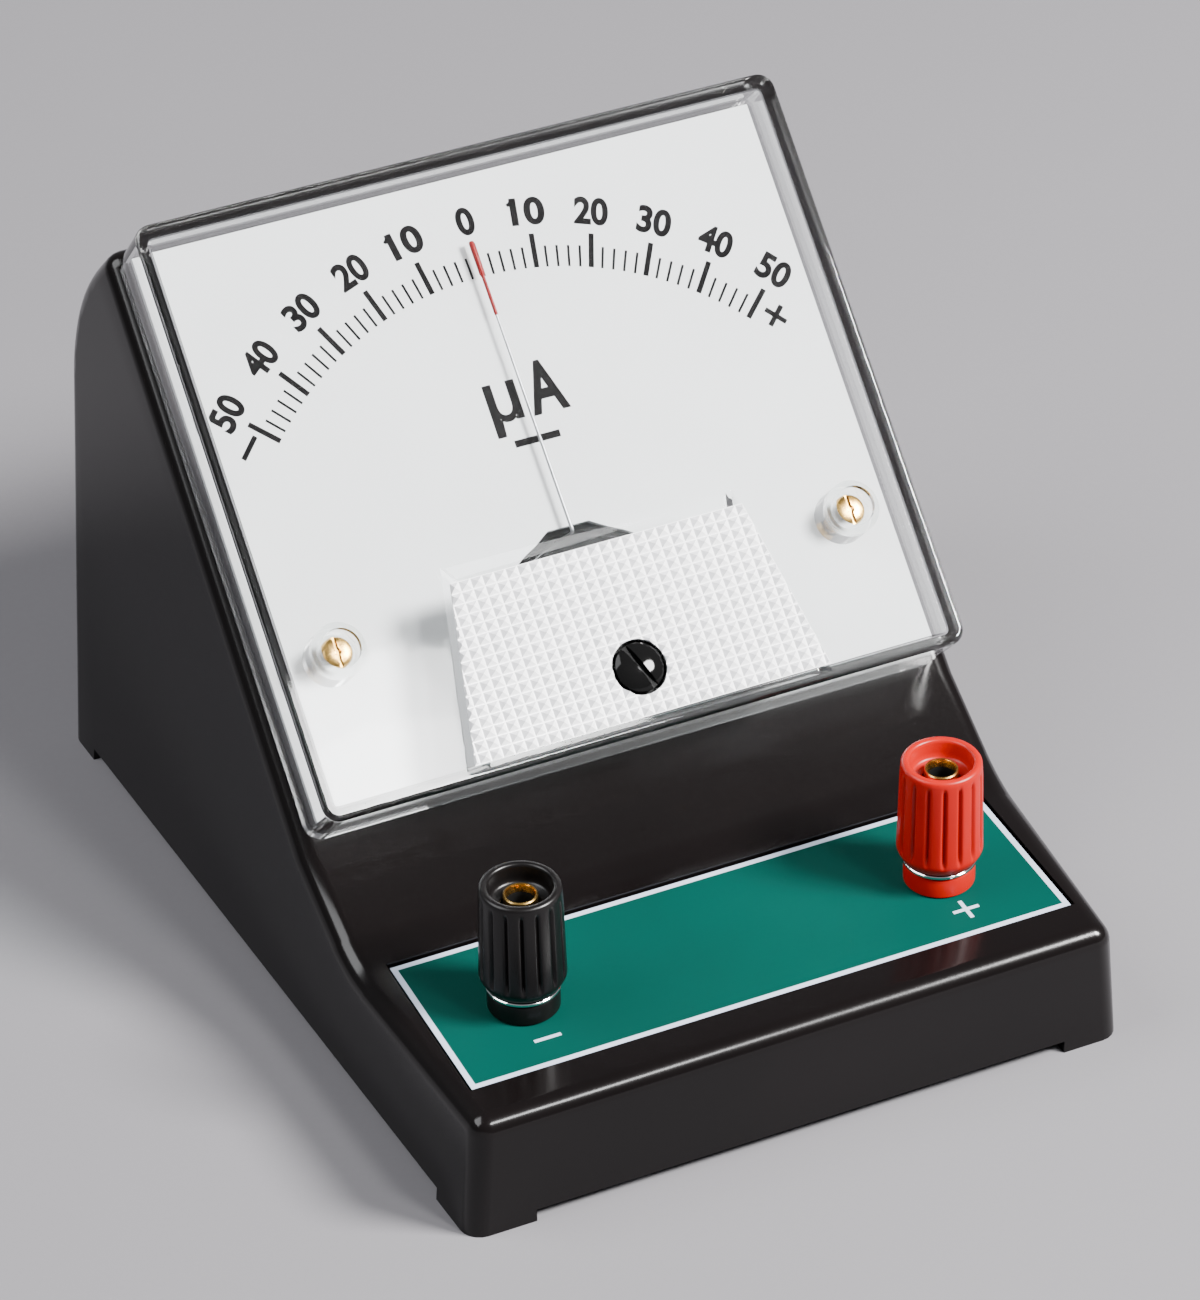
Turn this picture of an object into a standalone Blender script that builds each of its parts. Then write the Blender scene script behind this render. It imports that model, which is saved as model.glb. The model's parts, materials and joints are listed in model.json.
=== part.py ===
"""Centre-zero bench galvanometer: a sloping moulded case with a clear front cover,
a moving-coil movement under the dial, and two screw terminals on the front shelf.

The constants are in millimetres and degrees; MM turns lengths into metres.
X is to the right, Y to the back and Z up. The origin is on the floor, under the
middle of the case. Pieces on the case are placed from the case's front edge, and
pieces on the sloping face from the face frame, whose Z points out of the dial.
"""
import math

import bmesh
import bpy
from mathutils import Matrix, Vector

MM = 0.001
GAP = 0.3                      # clearance between neighbouring pieces

# Case
FRONT_HALF_WIDTH = 50.0
CASE_DEPTH = 134.0             # overall, at the rear wall's furthest point
WIDENING = 0.066               # half width gained for each mm towards the back
DRAFT = 0.081                  # half width lost for each mm of height
WALL = 2.5
EDGE_RADIUS = 2.8
SHELF_Z = 19.7
NECK_Y = 38.5
NECK_RADIUS = 18.0
REAR_LEAN = 0.03
REAR_STRAIGHT = 63.4           # height at which the rear wall starts to curve over
REAR_FOOT_Y = CASE_DEPTH - REAR_LEAN * REAR_STRAIGHT
REAR_RADIUS = 30.0
FOOT_HEIGHT = 2.03
FOOT_WIDTH = 10.0
FOOT_DEPTH = 10.0

# Sloping face frame: its zero is the cover's bottom edge, at the dial's surface
FACE_Y = 52.264
FACE_Z = 32.553
FACE_TILT = math.radians(42.738)
FACE_N = -4.5                  # the case's sloping surface, in the face frame
FACE_LOW_S = -1.7
FACE_HIGH_S = 89.6

# Clear cover
COVER_HALF_WIDTH = 49.57
COVER_LENGTH = 88.54
COVER_TOP = 8.13
COVER_WALL = 1.8
COVER_CORNER = 2.5
PANEL_TOP = 10.2               # the raised panel over the movement
PANEL_LENGTH = 28.3
PANEL_HALF_TOP = 21.5
PANEL_HALF_BOTTOM = 26.6
PANEL_BEVEL_SIDE = 2.3
PANEL_BEVEL_TOP = 4.0
POST_X = 39.8
POST_S = 23.25
POST_RADIUS = 4.0
POST_MOUTH = 2.9

# Dial
DIAL_HALF_WIDTH = 47.3
DIAL_LOW_S = 2.3
DIAL_HIGH_S = 86.2
DIAL_TOP = 0.2
DIAL_THICK = 1.0
COLLAR_WALL = 2.4

# Movement
PIVOT_S = 20.67
POINTER_LENGTH = 55.4
POINTER_REST = math.radians(0.7)
SLOT_INNER = 9.3               # pointer opening in the dial, measured from the pivot
SLOT_OUTER = 11.3
SLOT_TOP = 12.0
SLOT_CORNER = 15.55            # across plus up, where its upper corners are cut off at 45 degrees
SLOT_SPAN = math.radians(60)
PLATE_TOP = FACE_N - WALL - GAP
PLATE_THICK = 1.5
POLE_TOP = -9.2
POLE_BOTTOM = -24.0
POLE_HALF_WIDTH = 24.0
POLE_HALF_DEPTH = 11.0
BORE_RADIUS = 8.6
CORE_RADIUS = 6.0
MAGNET_BOTTOM = -42.0
ZERO_S = 8.92
ZERO_THROW = 2.2

# Terminals
TERMINAL_X = 31.94
TERMINAL_Y = 21.43
LABEL_Z = 19.34
LABEL_HALF_WIDTH = 45.6
LABEL_NEAR_Y = 7.84
LABEL_FAR_Y = 36.36
CAP_TOP = 40.06
CAP_BOTTOM = 23.7
STUD_RADIUS = 2.0
SOCKET_RADIUS = 2.4
PLUG_RADIUS = 2.0

SCREW_SHANK = 1.2
SCREW_HOLE = 1.5
CLEARANCE_HOLE = 2.35          # round a terminal stud

BLACK = (0.012, 0.012, 0.013)
RED = (0.58, 0.02, 0.008)
BRASS = (0.72, 0.5, 0.2)
STEEL = (0.62, 0.62, 0.64)
ALUMINIUM = (0.8, 0.8, 0.82)
COPPER = (0.72, 0.28, 0.14)
MAGNET_GREY = (0.2, 0.2, 0.21)

COLLECTIONS = {}
FRAMES = {}


# ---------------------------------------------------------------- set-up
def clear_scene():
    for old in list(bpy.data.objects):
        bpy.data.objects.remove(old, do_unlink=True)


def make_collections():
    for name in ("galvanometer", "cutters"):
        collection = bpy.data.collections.new(name)
        bpy.context.scene.collection.children.link(collection)
        COLLECTIONS[name] = collection


def make_frame(name, parent, location, tilt=0.0):
    frame = bpy.data.objects.new(name, None)
    COLLECTIONS["galvanometer"].objects.link(frame)
    frame.parent = parent
    frame.location = Vector(location) * MM
    frame.rotation_euler = (tilt, 0, 0)
    FRAMES[name] = frame


def make_frames():
    make_frame("front_edge", None, (0, -CASE_DEPTH / 2, 0))
    make_frame("face", FRAMES["front_edge"], (0, FACE_Y, FACE_Z), FACE_TILT)
    make_frame("pivot", FRAMES["face"], (0, PIVOT_S, 0))
    for side, x in (("black", -TERMINAL_X), ("red", TERMINAL_X)):
        make_frame(side + "_terminal", FRAMES["front_edge"], (x, TERMINAL_Y, 0))


def dress(piece, colour, roughness, metallic=0.0):
    material = bpy.data.materials.new(piece.name)
    material.use_nodes = True
    shader = material.node_tree.nodes["Principled BSDF"]
    shader.inputs["Base Color"].default_value = (*colour, 1)
    shader.inputs["Roughness"].default_value = roughness
    shader.inputs["Metallic"].default_value = metallic
    material.diffuse_color = (*colour, 1)
    piece.data.materials.append(material)
    return piece


# ---------------------------------------------------------------- shapes
def link(name, data, frame, location, cutter):
    piece = bpy.data.objects.new(name, data)
    COLLECTIONS["cutters" if cutter else "galvanometer"].objects.link(piece)
    piece.parent = FRAMES[frame]
    piece.location = Vector(location) * MM
    if cutter:
        piece.hide_render = True
        piece.display_type = "WIRE"
    return piece


def add_solid(name, bm, frame, origin=(0, 0, 0), cutter=False):
    """The bmesh is in the frame's millimetres; the object's origin is set apart from it."""
    bmesh.ops.recalc_face_normals(bm, faces=bm.faces)
    bmesh.ops.translate(bm, verts=bm.verts, vec=-Vector(origin))
    bmesh.ops.scale(bm, verts=bm.verts, vec=(MM, MM, MM))
    mesh = bpy.data.meshes.new(name)
    bm.to_mesh(mesh)
    bm.free()
    return link(name, mesh, frame, origin, cutter)


def box_mesh(low, high):
    bm = bmesh.new()
    low, high = Vector(low), Vector(high)
    size = Matrix.Diagonal((*(high - low), 1))
    bmesh.ops.create_cube(bm, size=1, matrix=Matrix.Translation((low + high) / 2) @ size)
    return bm


def box(name, frame, low, high, cutter=False):
    centre = (Vector(low) + Vector(high)) / 2
    return add_solid(name, box_mesh(low, high), frame, centre, cutter)


def rod_mesh(x, y, radius, low, high, segments=24, top_radius=None):
    bm = bmesh.new()
    bmesh.ops.create_cone(
        bm, cap_ends=True, segments=segments, radius1=radius,
        radius2=radius if top_radius is None else top_radius, depth=high - low,
        matrix=Matrix.Translation((x, y, (low + high) / 2)))
    return bm


def rod(name, frame, x, y, radius, low, high, segments=24, cutter=False):
    bm = rod_mesh(x, y, radius, low, high, segments)
    return add_solid(name, bm, frame, (x, y, 0), cutter)


def turned(name, frame, x, y, profile, steps=24, cutter=False):
    """A profile of (radius, height) points, run down the outer side, turned about Z.

    A profile that starts and ends on the axis is open; any other one is closed."""
    mesh = bpy.data.meshes.new(name)
    points = [(radius * MM, 0, height * MM) for radius, height in profile]
    edges = [(k, k + 1) for k in range(len(points) - 1)]
    if profile[0][0] > 0:
        edges.append((len(points) - 1, 0))
    mesh.from_pydata(points, edges, [])
    piece = link(name, mesh, frame, (x, y, 0), cutter)
    screw = piece.modifiers.new("Turn", "SCREW")
    screw.steps = steps
    screw.render_steps = steps
    screw.use_merge_vertices = True
    screw.merge_threshold = 0.00001
    return piece


def slab(name, frame, outline, low, high, cutter=False):
    """A flat outline in the frame's XY plane, extruded from low to high."""
    bm = bmesh.new()
    face = bm.faces.new([bm.verts.new((x, y, low)) for x, y in outline])
    raised = bmesh.ops.extrude_face_region(bm, geom=[face])["geom"]
    moved = [item for item in raised if isinstance(item, bmesh.types.BMVert)]
    bmesh.ops.translate(bm, verts=moved, vec=(0, 0, high - low))
    return add_solid(name, bm, frame, cutter=cutter)


def wire(name, frame, points, radius):
    curve = bpy.data.curves.new(name, "CURVE")
    curve.dimensions = "3D"
    curve.bevel_depth = radius * MM
    curve.bevel_resolution = 2
    curve.use_fill_caps = True
    spline = curve.splines.new("POLY")
    spline.points.add(len(points) - 1)
    for target, point in zip(spline.points, points):
        target.co = (*(Vector(point) * MM), 1)
    return link(name, curve, frame, (0, 0, 0), False)


def boolean(piece, operation, tools):
    for tool in tools:
        modifier = piece.modifiers.new(tool.name, "BOOLEAN")
        modifier.operation = operation
        modifier.object = tool
    return piece


def cut(piece, *tools):
    return boolean(piece, "DIFFERENCE", tools)


def join(piece, *tools):
    return boolean(piece, "UNION", tools)


def drill(piece, frame, name, x, y, radius, low, high, segments=24):
    return cut(piece, rod(name, frame, x, y, radius, low, high, segments, cutter=True))


def polygon(radius, sides, turn=0.0):
    angles = [turn + math.tau * k / sides for k in range(sides)]
    return [(radius * math.cos(a), radius * math.sin(a)) for a in angles]


# ---------------------------------------------------------------- case outline
def face_point(s, n):
    """The (Y, Z) place of a point s up the slope and n out from the dial."""
    y = FACE_Y + s * math.cos(FACE_TILT) - n * math.sin(FACE_TILT)
    z = FACE_Z + s * math.sin(FACE_TILT) + n * math.cos(FACE_TILT)
    return Vector((y, z))


def half_width(y, z):
    return FRONT_HALF_WIDTH + WIDENING * y - DRAFT * z


def rear_corner():
    """Where the leaning rear wall meets the case's top end, before rounding."""
    start = face_point(FACE_HIGH_S, 0)
    run = Vector((math.sin(FACE_TILT), -math.cos(FACE_TILT)))
    reach = (REAR_FOOT_Y + REAR_LEAN * start.y - start.x) / (run.x - REAR_LEAN * run.y)
    return start + run * reach


def crossing(point_a, run_a, point_b, run_b):
    gap = point_b - point_a
    reach = (gap.x * run_b.y - gap.y * run_b.x) / (run_a.x * run_b.y - run_a.y * run_b.x)
    return point_a + run_a * reach


def inset_corners(corners, inset):
    """Moves every side of a clockwise outline inwards, and keeps its roundings true."""
    count = len(corners)
    places = [Vector(corner[:2]) for corner in corners]
    runs = [(places[(k + 1) % count] - places[k]).normalized() for k in range(count)]
    moved = []
    for k in range(count):
        before, after = runs[k - 1], runs[k]
        shift_before = Vector((before.y, -before.x)) * inset
        shift_after = Vector((after.y, -after.x)) * inset
        place = crossing(places[k] + shift_before, before, places[k] + shift_after, after)
        convex = before.x * after.y - before.y * after.x < 0
        radius = corners[k][2]
        if radius:
            radius += -inset if convex else inset
        moved.append((place.x, place.y, radius))
    return moved


def rounded(corners, segments=12):
    """Replaces each corner that has a radius by an arc."""
    count = len(corners)
    outline = []
    for k in range(count):
        place = Vector(corners[k][:2])
        radius = corners[k][2]
        if not radius:
            outline.append(place)
            continue
        back = (Vector(corners[k - 1][:2]) - place).normalized()
        ahead = (Vector(corners[(k + 1) % count][:2]) - place).normalized()
        half = back.angle(ahead) / 2
        centre = place + (back + ahead).normalized() * radius / math.sin(half)
        start = place + back * radius / math.tan(half) - centre
        end = place + ahead * radius / math.tan(half) - centre
        sweep = start.angle_signed(end)
        for step in range(segments + 1):
            turn = Matrix.Rotation(-sweep * step / segments, 2)
            outline.append(centre + turn @ start)
    return outline


def case_block(name, inset, bottom):
    low_face = face_point(FACE_LOW_S, FACE_N)
    high_face = face_point(FACE_HIGH_S, FACE_N)
    rear = rear_corner()
    corners = [
        (0, bottom, 0),
        (0, SHELF_Z, 0),
        (NECK_Y, SHELF_Z, NECK_RADIUS),
        (low_face.x, low_face.y, 0),
        (high_face.x, high_face.y, 0),
        (rear.x, rear.y, REAR_RADIUS),
        (REAR_FOOT_Y + REAR_LEAN * bottom, bottom, 0),
    ]
    outline = rounded(inset_corners(corners, inset))
    return sided_block(name, outline, inset, cutter=inset > 0)


def sided_block(name, outline, inset, cutter):
    """A (Y, Z) outline carried out to the case's drafted side planes."""
    bm = bmesh.new()
    face = bm.faces.new([bm.verts.new((-1, y, z)) for y, z in outline])
    other = bmesh.ops.extrude_face_region(bm, geom=[face])["geom"]
    moved = [item for item in other if isinstance(item, bmesh.types.BMVert)]
    bmesh.ops.translate(bm, verts=moved, vec=(2, 0, 0))
    for vert in bm.verts:
        reach = half_width(vert.co.y, vert.co.z) - inset
        vert.co.x = math.copysign(reach, vert.co.x)
    return add_solid(name, bm, "front_edge", cutter=cutter)


# ---------------------------------------------------------------- case and base
def add_bevel(piece, width, segments, angle):
    bevel = piece.modifiers.new("Rounded edges", "BEVEL")
    bevel.width = width * MM
    bevel.segments = segments
    bevel.limit_method = "ANGLE"
    bevel.angle_limit = math.radians(angle)
    return piece


def base_screw_places():
    rear_y = REAR_FOOT_Y - WALL - 2.2
    front_y = WALL + 2.5
    return [(-25, front_y), (25, front_y), (-34, rear_y), (34, rear_y)]


def movement_screw_places():
    return [(x, s) for x in (-26, 26) for s in (7.6, 38.0)]


def make_case():
    case = case_block("case_shell", 0, -6)
    add_bevel(case, EDGE_RADIUS, 5, 50)
    cut(case, case_block("case_hollow", WALL, -9))
    cut(case, box("floor_line", "front_edge", (-90, -9, -20), (90, CASE_DEPTH + 9, 0), True))
    far = CASE_DEPTH + 9
    cut(case, box("foot_gap_front", "front_edge", (FOOT_WIDTH - 50, -9, -9),
                  (51 - FOOT_WIDTH, far, FOOT_HEIGHT), True))
    cut(case, box("foot_gap_side", "front_edge", (-90, FOOT_DEPTH, -9),
                  (90, CASE_DEPTH - FOOT_DEPTH, FOOT_HEIGHT), True))
    add_dial_collar(case)
    add_bosses(case)
    cut_face_openings(case)
    cut_shelf(case)
    return dress(case, BLACK, 0.3)


def add_dial_collar(case):
    top = DIAL_TOP - DIAL_THICK - GAP
    half = DIAL_HALF_WIDTH
    collar = box("dial_collar", "face", (-half, DIAL_LOW_S, FACE_N - 1),
                 (half, DIAL_HIGH_S, top), True)
    inner = half - COLLAR_WALL
    well = box("dial_well", "face", (-inner, DIAL_LOW_S + COLLAR_WALL, FACE_N),
               (inner, DIAL_HIGH_S - COLLAR_WALL, top + 3), True)
    join(case, collar)
    cut(case, well)


def add_bosses(case):
    for x in (-POST_X, POST_X):
        side = "left" if x < 0 else "right"
        join(case, rod("cover_boss_" + side, "face", x, POST_S, 3.2,
                       -14, FACE_N - 1, cutter=True))
        drill(case, "face", "cover_screw_hole_" + side, x, POST_S, SCREW_HOLE, -12.6, 2)
    for number, (x, y) in enumerate(base_screw_places(), 1):
        top = SHELF_Z - 1.7 if y < CASE_DEPTH / 2 else 15
        join(case, rod(f"base_boss_{number}", "front_edge", x, y, 3.2, 4.2, top, cutter=True))
        drill(case, "front_edge", f"base_hole_{number}", x, y, SCREW_HOLE, 1, 12)


def cut_face_openings(case):
    cut(case, box("movement_opening", "face", (-22, 6, -9), (22, 34.8, 2), True))
    for number, (x, s) in enumerate(movement_screw_places(), 1):
        drill(case, "face", f"movement_hole_{number}", x, s, SCREW_HOLE, -9, -3, 16)


def cut_shelf(case):
    edge = 0.42
    cut(case, box("label_recess", "front_edge",
                  (-LABEL_HALF_WIDTH - edge, LABEL_NEAR_Y - edge, SHELF_Z - 1),
                  (LABEL_HALF_WIDTH + edge, LABEL_FAR_Y + edge, SHELF_Z + 3), True))
    for side in ("black", "red"):
        drill(case, side + "_terminal", side + "_shelf_hole", 0, 0, 3.5, 15, 21)


def make_base_plate():
    low, high = 2.4, 3.9
    near = WALL + 0.4
    far = REAR_FOOT_Y - WALL - 0.4
    outline = [(near, low), (near, high), (far, high), (far, low)]
    plate = sided_block("base_plate", outline, WALL + 0.5, False)
    for number, (x, y) in enumerate(base_screw_places(), 1):
        drill(plate, "front_edge", f"plate_hole_{number}", x, y, SCREW_HOLE, 1, 6, 16)
    return dress(plate, (0.02, 0.02, 0.02), 0.6)


def screw(name, frame, x, y, seat, head, shank_end, slot, steps=16):
    """A pan-head screw standing on a seat height; a head (radius, height) may be negative."""
    radius, height = head
    top = seat + height
    rim = seat + height * 0.55
    profile = [(0, top), (radius * 0.7, top), (radius, rim), (radius, seat),
               (SCREW_SHANK, seat), (SCREW_SHANK, shank_end), (0, shank_end)]
    if height < 0:
        profile.reverse()
    piece = turned(name, frame, x, y, profile, steps)
    half = radius + 1
    ends = sorted((top - math.copysign(0.45, height), top + math.copysign(1, height)))
    return cut(piece, box(name + "_slot", frame, (x - slot / 2, y - half, ends[0]),
                          (x + slot / 2, y + half, ends[1]), True))


def make_case_screws():
    for number, (x, y) in enumerate(base_screw_places(), 1):
        piece = screw(f"base_screw_{number}", "front_edge", x, y, 1.7, (3.5, -1.3), 11, 0.8)
        dress(piece, STEEL, 0.25, 1)
    for number, (x, s) in enumerate(movement_screw_places(), 1):
        seat = FACE_N + GAP
        piece = screw(f"movement_screw_{number}", "face", x, s, seat, (2.2, 1.3), -11, 0.6)
        dress(piece, STEEL, 0.3, 1)
    for side, x in (("left", -POST_X), ("right", POST_X)):
        piece = screw("window_screw_" + side, "face", x, POST_S, 4.2, (2.3, 1.8), -12, 0.6, 24)
        dress(piece, BRASS, 0.3, 1)


# ---------------------------------------------------------------- clear cover
def bevel_edges(bm, chosen, width, segments):
    bmesh.ops.bevel(bm, geom=chosen, offset=width, segments=segments,
                    affect="EDGES", profile=0.5, clamp_overlap=True)


def cover_blank(name, inset, low, high, corner, cutter):
    """A block with rounded upright corners; the outer one has a rounded top rim too."""
    half = COVER_HALF_WIDTH - inset
    bm = box_mesh((-half, inset, low), (half, COVER_LENGTH - inset, high))
    upright = [e for e in bm.edges if abs(e.verts[0].co.z - e.verts[1].co.z) > 1]
    bevel_edges(bm, upright, corner, 4)
    if not cutter:
        rim = [e for e in bm.edges if all(abs(v.co.z - high) < 0.01 for v in e.verts)]
        bevel_edges(bm, rim, 0.8, 2)
    return add_solid(name, bm, "face", cutter=cutter)


def panel_block(name, low_s, inset, low, high):
    """The raised panel: wider towards the bottom edge, with sloping sides and top."""
    slant = (PANEL_HALF_BOTTOM - PANEL_HALF_TOP) / PANEL_LENGTH
    bm = box_mesh((-1, 0, 0), (1, 1, 1))
    for vert in bm.verts:
        side, up_slope, outer = math.copysign(1, vert.co.x), vert.co.y > 0.5, vert.co.z > 0.5
        spread = 0 if outer else 1
        s = PANEL_LENGTH - inset + spread * PANEL_BEVEL_TOP if up_slope else low_s
        half = PANEL_HALF_TOP + slant * (PANEL_LENGTH - s) - inset + spread * PANEL_BEVEL_SIDE
        vert.co = (side * half, s, high if outer else low)
    return add_solid(name, bm, "face", cutter=True)


def make_cover():
    low = FACE_N + GAP
    inner_top = COVER_TOP - 1.9
    cover = cover_blank("front_window", 0, low, COVER_TOP, COVER_CORNER, False)
    join(cover, panel_block("cover_panel", 1.2, 0, COVER_TOP - 0.3, PANEL_TOP))
    cut(cover, cover_blank("cover_hollow", COVER_WALL, low - 3, inner_top, 1.0, True))
    cut(cover, panel_block("panel_hollow", 3.4, 1.8, inner_top - 0.4, PANEL_TOP - 1.9))
    for side, x in (("left", -POST_X), ("right", POST_X)):
        join(cover, rod("cover_post_" + side, "face", x, POST_S, POST_RADIUS,
                        DIAL_TOP + GAP, inner_top + 0.5, 32, True))
        drill(cover, "face", "post_mouth_" + side, x, POST_S, POST_MOUTH, 3.9, 12, 32)
        drill(cover, "face", "post_hole_" + side, x, POST_S, SCREW_HOLE, -1, 5, 16)
    drill(cover, "face", "zero_hole", 0, ZERO_S, 3.9, 5, 14, 32)
    return dress(cover, (0.9, 0.92, 0.93), 0.05)


def make_zero_screw():
    profile = [(0, 11.35), (1.8, 11.2), (2.9, 10.9), (3.55, 10.4), (3.55, 8.0), (5.0, 8.0),
               (5.0, 6.8), (0, 6.8)]
    piece = turned("zero_adjust_screw", "face", 0, ZERO_S, profile, 32)
    pin = rod("zero_pin", "face", 0, ZERO_S - ZERO_THROW, 0.6, -3.3, 7.2, 12, True)
    slot = box("zero_slot", "face", (-0.45, ZERO_S - 5, 10.3), (0.45, ZERO_S + 5, 13), True)
    slot.rotation_euler = (0, 0, math.radians(22.4))
    cut(join(piece, pin), slot)
    return dress(piece, BLACK, 0.25)


# ---------------------------------------------------------------- dial and label
def slot_reach(angle):
    """From the pivot to the pointer opening's upper edge: flat, then sloping, then round."""
    sloping = SLOT_CORNER / (abs(math.sin(angle)) + math.cos(angle))
    return max(SLOT_OUTER, min(SLOT_TOP / math.cos(angle), sloping))


def arc_slot_outline():
    steps = 24
    angles = [SLOT_SPAN * (2 * k / steps - 1) for k in range(steps + 1)]
    outer = [(slot_reach(a) * math.sin(a), slot_reach(a) * math.cos(a)) for a in angles]
    inner = [(SLOT_INNER * math.sin(a), SLOT_INNER * math.cos(a)) for a in angles]
    return outer + inner[::-1]


def make_dial():
    low = DIAL_TOP - DIAL_THICK
    dial = box("dial_plate", "face", (-DIAL_HALF_WIDTH, DIAL_LOW_S, low),
               (DIAL_HALF_WIDTH, DIAL_HIGH_S, DIAL_TOP))
    cut(dial, slab("pointer_slot", "pivot", arc_slot_outline(), low - 1, DIAL_TOP + 1, True))
    drill(dial, "face", "dial_zero_hole", 0, ZERO_S, 3.3, -3, 3)
    for side, x in (("left", -POST_X), ("right", POST_X)):
        drill(dial, "face", "dial_screw_hole_" + side, x, POST_S, 1.6, -3, 3, 16)
    return dress(dial, (0.86, 0.86, 0.85), 0.45)


def make_label():
    label = box("label_plate", "front_edge", (-LABEL_HALF_WIDTH, LABEL_NEAR_Y, SHELF_Z - 0.7),
                (LABEL_HALF_WIDTH, LABEL_FAR_Y, LABEL_Z))
    for side in ("black", "red"):
        drill(label, side + "_terminal", side + "_label_hole", 0, 0, 3.5, 15, 22)
    return dress(label, (0.0, 0.19, 0.14), 0.4)


# ---------------------------------------------------------------- fixed movement
def make_movement_plate():
    low = PLATE_TOP - PLATE_THICK
    plate = box("movement_plate", "face", (-30, 1, low), (30, 42, PLATE_TOP))
    drill(plate, "pivot", "plate_window", 0, 0, 14, low - 1, PLATE_TOP + 1, 32)
    for number, (x, s) in enumerate(movement_screw_places(), 1):
        drill(plate, "face", f"plate_screw_hole_{number}", x, s, SCREW_HOLE, -10, -5, 16)
    for side, x in (("left", -16.2), ("right", 16.2)):
        drill(plate, "pivot", "plate_bridge_hole_" + side, x, 0, 1.1, -10, -5, 12)
    return dress(plate, BRASS, 0.35, 1)


def make_magnet_system():
    depth = POLE_HALF_DEPTH
    for side, sign in (("left", -1), ("right", 1)):
        ends = sorted((sign * POLE_HALF_WIDTH, sign * 3.5))
        pole = box("pole_piece_" + side, "pivot", (ends[0], -depth, POLE_BOTTOM),
                   (ends[1], depth, POLE_TOP))
        drill(pole, "pivot", "bore_" + side, 0, 0, BORE_RADIUS, POLE_BOTTOM - 2, POLE_TOP + 2, 40)
        dress(pole, STEEL, 0.4, 1)
        angle = math.radians(56) * sign
        stop = rod("pointer_stop_" + side, "pivot", 9.6 * math.sin(angle),
                   9.6 * math.cos(angle), 0.5, POLE_TOP + GAP, -6.2, 12)
        dress(stop, BRASS, 0.3, 1)
    magnet = box("magnet", "pivot", (-POLE_HALF_WIDTH, -depth, MAGNET_BOTTOM),
                 (POLE_HALF_WIDTH, depth, POLE_BOTTOM - GAP))
    cut(magnet, box("magnet_gap", "pivot", (-12, -depth - 2, -36), (12, depth + 2, -20), True))
    dress(magnet, MAGNET_GREY, 0.5, 0.6)
    core = rod("iron_core", "pivot", 0, 0, CORE_RADIUS, -22, -11, 40)
    dress(core, STEEL, 0.35, 1)
    clamp = box("core_clamp", "pivot", (-1.5, CORE_RADIUS + 0.4, -17), (1.5, 15.5, -15.5))
    join(clamp, box("clamp_leg", "pivot", (-1.5, 14.2, -16.6), (1.5, 15.5, -9.1), True))
    dress(clamp, BRASS, 0.35, 1)


def make_bridges():
    front = box("front_bridge", "pivot", (-18, -2.6, -4.5), (18, 2.6, -3.2))
    rear = box("rear_bridge", "pivot", (-11.6, -2.6, -30.0), (11.6, 2.6, -28.7))
    for side, sign in (("left", -1), ("right", 1)):
        ends = sorted((sign * 14.5, sign * 18))
        join(front, box("front_leg_" + side, "pivot", (ends[0], -2.6, PLATE_TOP + GAP),
                        (ends[1], 2.6, -4.2), True))
        drill(front, "pivot", "bridge_hole_" + side, sign * 16.2, 0, 1.1, -10, -1, 12)
        ends = sorted((sign * 9.4, sign * 11.6))
        join(rear, box("rear_leg_" + side, "pivot", (ends[0], -2.6, -29),
                       (ends[1], 2.6, POLE_BOTTOM - GAP), True))
        make_bridge_screw(side, sign * 16.2)
    drill(front, "pivot", "front_jewel_hole", 0, 0, 1.75, -6, -1)
    drill(rear, "pivot", "rear_jewel_hole", 0, 0, 1.75, -32, -26)
    join(rear, rod("rear_stud", "pivot", 5.25, 0, 0.35, -29.2, -26, 12, True))
    dress(front, BRASS, 0.35, 1)
    dress(rear, BRASS, 0.35, 1)


def make_bridge_screw(side, x):
    profile = [(0, -1.9), (1.3, -1.9), (1.6, -2.3), (1.6, -2.9), (0.8, -2.9), (0.8, -8.9),
               (0, -8.9)]
    piece = turned("bridge_screw_" + side, "pivot", x, 0, profile, 16)
    dress(piece, STEEL, 0.3, 1)


def make_bearings():
    spans = {"front": ((-5.0, -1.2), (-2.0, -1.2)), "rear": ((-32.5, -28.4), (-31.5, -30.3))}
    for end, (screw_span, nut_span) in spans.items():
        jewel = rod("jewel_screw_" + end, "pivot", 0, 0, 1.4, *screw_span, segments=20)
        dress(jewel, STEEL, 0.3, 1)
        nut = slab("lock_nut_" + end, "pivot", polygon(2.8, 6), *nut_span)
        drill(nut, "pivot", "lock_nut_hole_" + end, 0, 0, 1.75,
              nut_span[0] - 1, nut_span[1] + 1, 20)
        dress(nut, BRASS, 0.3, 1)


def spiral(inner, outer, turns, height, end_angle, steps=12):
    count = int(turns * steps)
    points = []
    for k in range(count + 1):
        part = k / count
        angle = end_angle - (1 - part) * turns * math.tau
        radius = inner + (outer - inner) * part
        points.append((radius * math.cos(angle), radius * math.sin(angle), height))
    return points


def make_hairsprings():
    front = spiral(1.1, 3.8, 2, -5.9, -math.pi / 2)
    rear = spiral(1.1, 4.4, 2, -26.3, 0)
    dress(wire("hairspring_front", "pivot", front, 0.12), BRASS, 0.3, 1)
    dress(wire("hairspring_rear", "pivot", rear, 0.12), BRASS, 0.3, 1)


# ---------------------------------------------------------------- moving parts
def frame_solid(name, half, opening, depth, outer, inner):
    """A rectangular frame round the core, in the pivot's XZ plane."""
    piece = box(name, "pivot", (-half, -depth, outer[0]), (half, depth, outer[1]))
    piece.data.transform(Matrix.Translation(piece.location))
    piece.location = (0, 0, 0)
    cut(piece, box(name + "_window", "pivot", (-opening, -depth - 1, inner[0]),
                   (opening, depth + 1, inner[1]), True))
    return piece


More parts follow.
